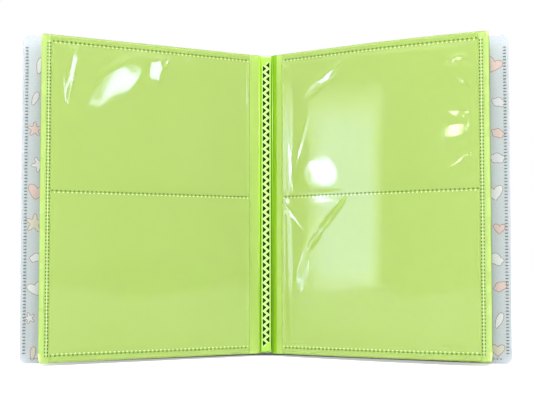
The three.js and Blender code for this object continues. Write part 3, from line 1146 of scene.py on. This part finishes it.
def cover_welds(half):
    bm = bmesh.new()
    level = FLAP_FRONT - SEAM_SINK
    count = int((COVER_TOP - 2 * WELD_MARGIN) / DASH_PITCH)
    for i in range(count + 1):
        height = WELD_MARGIN + i * DASH_PITCH
        add_mark(bm, COVER_WIDTH - DASH_IN, height, level, 1, DASH_LONG, DASH_WIDE)
    row = int((FLAP_WIDTH - WELD_MARGIN) / ROW_PITCH)
    for i in range(row + 1):
        outward = COVER_WIDTH - WELD_MARGIN - i * ROW_PITCH
        add_mark(bm, outward, ROW_UP, level, 1, DOT_LONG, DASH_WIDE)
    bmesh.ops.transform(bm, matrix=stand_cover(half), verts=bm.verts)
    name = f"{COVERS[half]}_cover"
    return finish_piece(f"{name}_welds", bm, [COVER_WELD], name)


for half in SIDES:
    welds = cover_welds(half)
    print(welds.name, "has", len(welds.data.polygons), "faces")

# %% [markdown]
# The studio begins with a pale floor and a white world. The floor glows a little for the
# camera alone, which makes it as white as the world while it keeps the album's shadow. The
# world is white for the camera and for reflections, but lights the album at a lower level.

# %% Floor
FLOOR_SIZE = 6.0
FLOOR_GREY = 0.86
FLOOR_GLOW = 0.5


def floor_finish():
    material, nodes, link, shader = new_material("Pale floor")
    shader.inputs["Base Color"].default_value = (FLOOR_GREY, FLOOR_GREY, FLOOR_GREY, 1)
    shader.inputs["Roughness"].default_value = 0.9
    shader.inputs["Emission Color"].default_value = (1, 1, 1, 1)
    path = nodes.new("ShaderNodeLightPath")
    glow = nodes.new("ShaderNodeMath")
    glow.operation = "MULTIPLY"
    glow.inputs[1].default_value = FLOOR_GLOW
    link(path.outputs["Is Camera Ray"], glow.inputs[0])
    link(glow.outputs["Value"], shader.inputs["Emission Strength"])
    return material


bm = bmesh.new()
bmesh.ops.create_grid(bm, x_segments=1, y_segments=1, size=FLOOR_SIZE / 2)
floor = mesh_object("floor", bm, [floor_finish()])
print("floor:", FLOOR_SIZE, "m square")

# %% World
WORLD_LIGHT = 0.55

world = bpy.data.worlds.new("Studio")
bpy.context.scene.world = world
world.use_nodes = True
nodes = world.node_tree.nodes
link = world.node_tree.links.new
fill = nodes["Background"]
fill.inputs["Color"].default_value = (1, 1, 1, 1)
seen = nodes.new("ShaderNodeLightPath")
strength = nodes.new("ShaderNodeMapRange")
strength.inputs["To Min"].default_value = WORLD_LIGHT
strength.inputs["To Max"].default_value = 1.0
either = nodes.new("ShaderNodeMath")
either.operation = "MAXIMUM"
link(seen.outputs["Is Camera Ray"], either.inputs[0])
link(seen.outputs["Is Glossy Ray"], either.inputs[1])
link(either.outputs["Value"], strength.inputs["Value"])
link(strength.outputs["Result"], fill.inputs["Strength"])
print("world light:", WORLD_LIGHT)

# %% [markdown]
# One wide lamp above gives the soft shadow, and the small boxes planned before make the white
# patches. All are area lamps. A lamp's power is worked out from the brightness that its face
# should have and from its area, so that a box of any size looks equally white in the film.

# %% Lamps
PAGE_CENTRE = Vector((0, -0.03, 0.08))
BOX_RADIANCE = 20
COOL = (0.55, 0.57, 1.0)
WHITE = (1.0, 1.0, 1.0)


def add_lamp(name, place, along, size, radiance, colour):
    light = bpy.data.lights.new(name, "AREA")
    light.color = colour
    light.shape = "ELLIPSE"
    light.size, light.size_y = size
    light.energy = radiance * math.pi * size[0] * size[1] * math.pi / 4
    back = (place - PAGE_CENTRE).normalized()
    side = (along - along.dot(back) * back).normalized()
    lamp = bpy.data.objects.new(name, light)
    turn = Matrix((side, back.cross(side), back)).transposed().to_4x4()
    lamp.matrix_world = Matrix.Translation(place) @ turn
    bpy.context.scene.collection.objects.link(lamp)


for name, (place, long_axis, short_axis) in BOXES.items():
    colour = WHITE if name == "Box four" else COOL
    add_lamp(name, place, long_axis, (long_axis.length, short_axis.length), BOX_RADIANCE, colour)
add_lamp("Lamp above", Vector((0.0, -0.8, 1.5)), Vector((1, 0, 0)), (0.9, 0.6), 22, WHITE)
print("lamps:", len(bpy.data.lights))

# %% [markdown]
# Shiny film also shows wide pale hazes with no edge. A lamp has a hard edge, so each haze
# comes from a card that glows. It glows as strongly as the world at its border and more
# towards its middle, so its outline can't be seen.

# %% Glowing cards
# Middle, width, height, glow above the world's, share of the card that fades, colour
CARDS = {
    "Card narrow": (Vector((-1.10, -0.665, 0.15)), 0.27, 0.37, 4.6, 0.45, COOL),
    "Card high left": (Vector((-0.85, -0.80, 0.80)), 1.0, 0.8, 1.0, 1.0, WHITE),
    "Card high right": (Vector((0.85, -0.80, 0.80)), 1.0, 0.8, 2.0, 1.0, WHITE),
}


def glow_finish(name, width, height, glow, fade, colour):
    material, nodes, link, shader = new_material(name)
    shader.inputs["Base Color"].default_value = (0.8, 0.8, 0.8, 1)
    place = nodes.new("ShaderNodeTexCoord")
    split = nodes.new("ShaderNodeSeparateXYZ")
    link(place.outputs["Object"], split.inputs["Vector"])
    both = nodes.new("ShaderNodeMath")
    both.operation = "MULTIPLY"
    for slot, (axis, side) in enumerate((("X", width), ("Y", height))):
        size = nodes.new("ShaderNodeMath")
        size.operation = "ABSOLUTE"
        edge = nodes.new("ShaderNodeMapRange")
        edge.interpolation_type = "SMOOTHSTEP"
        edge.inputs["From Min"].default_value = side / 2
        edge.inputs["From Max"].default_value = side / 2 * (1 - fade)
        link(split.outputs[axis], size.inputs[0])
        link(size.outputs["Value"], edge.inputs["Value"])
        link(edge.outputs["Result"], both.inputs[slot])
    level = nodes.new("ShaderNodeMapRange")
    level.inputs["To Min"].default_value = 1.0
    level.inputs["To Max"].default_value = 1.0 + glow
    tint = nodes.new("ShaderNodeMix")
    tint.data_type = "RGBA"
    tint.inputs[MIX_FIRST].default_value = (1, 1, 1, 1)
    tint.inputs[MIX_SECOND].default_value = (*colour, 1)
    link(both.outputs["Value"], level.inputs["Value"])
    link(both.outputs["Value"], tint.inputs[MIX_SHARE])
    link(level.outputs["Result"], shader.inputs["Emission Strength"])
    link(tint.outputs[MIX_RESULT], shader.inputs["Emission Color"])
    return material


def glowing_card(name, place, width, height, glow, fade, colour):
    bm = bmesh.new()
    bmesh.ops.create_grid(bm, x_segments=1, y_segments=1, size=0.5)
    bmesh.ops.scale(bm, vec=(width, height, 1), verts=bm.verts)
    card = mesh_object(name, bm, [glow_finish(name, width, height, glow, fade, colour)])
    card.location = place
    card.rotation_euler = (place - PAGE_CENTRE).to_track_quat("Z", "Y").to_euler()


for name, (place, width, height, glow, fade, colour) in CARDS.items():
    glowing_card(name, place, width, height, glow, fade, colour)
print("cards:", len(CARDS))

# %% [markdown]
# The camera is turned by its own angles and not aimed at a point, because the picture's middle
# isn't the album's. The lens follows from the focal length in pixels and the picture's width.

# %% Camera
PHOTO_WIDTH = 533
FOCAL_PIXELS = 1119.8
SENSOR = 36.0

camera_data = bpy.data.cameras.new("Camera")
camera_data.sensor_width = SENSOR
camera_data.lens = FOCAL_PIXELS / PHOTO_WIDTH * SENSOR
camera_data.clip_start = 0.01
camera = bpy.data.objects.new("Camera", camera_data)
camera.location = CAMERA_PLACE
camera.rotation_euler = (math.pi / 2 + CAMERA_PITCH, 0, CAMERA_TURN)
bpy.context.scene.collection.objects.link(camera)
bpy.context.scene.camera = camera
bpy.context.scene.view_settings.view_transform = "Standard"
print("lens:", round(camera_data.lens, 1), "mm")
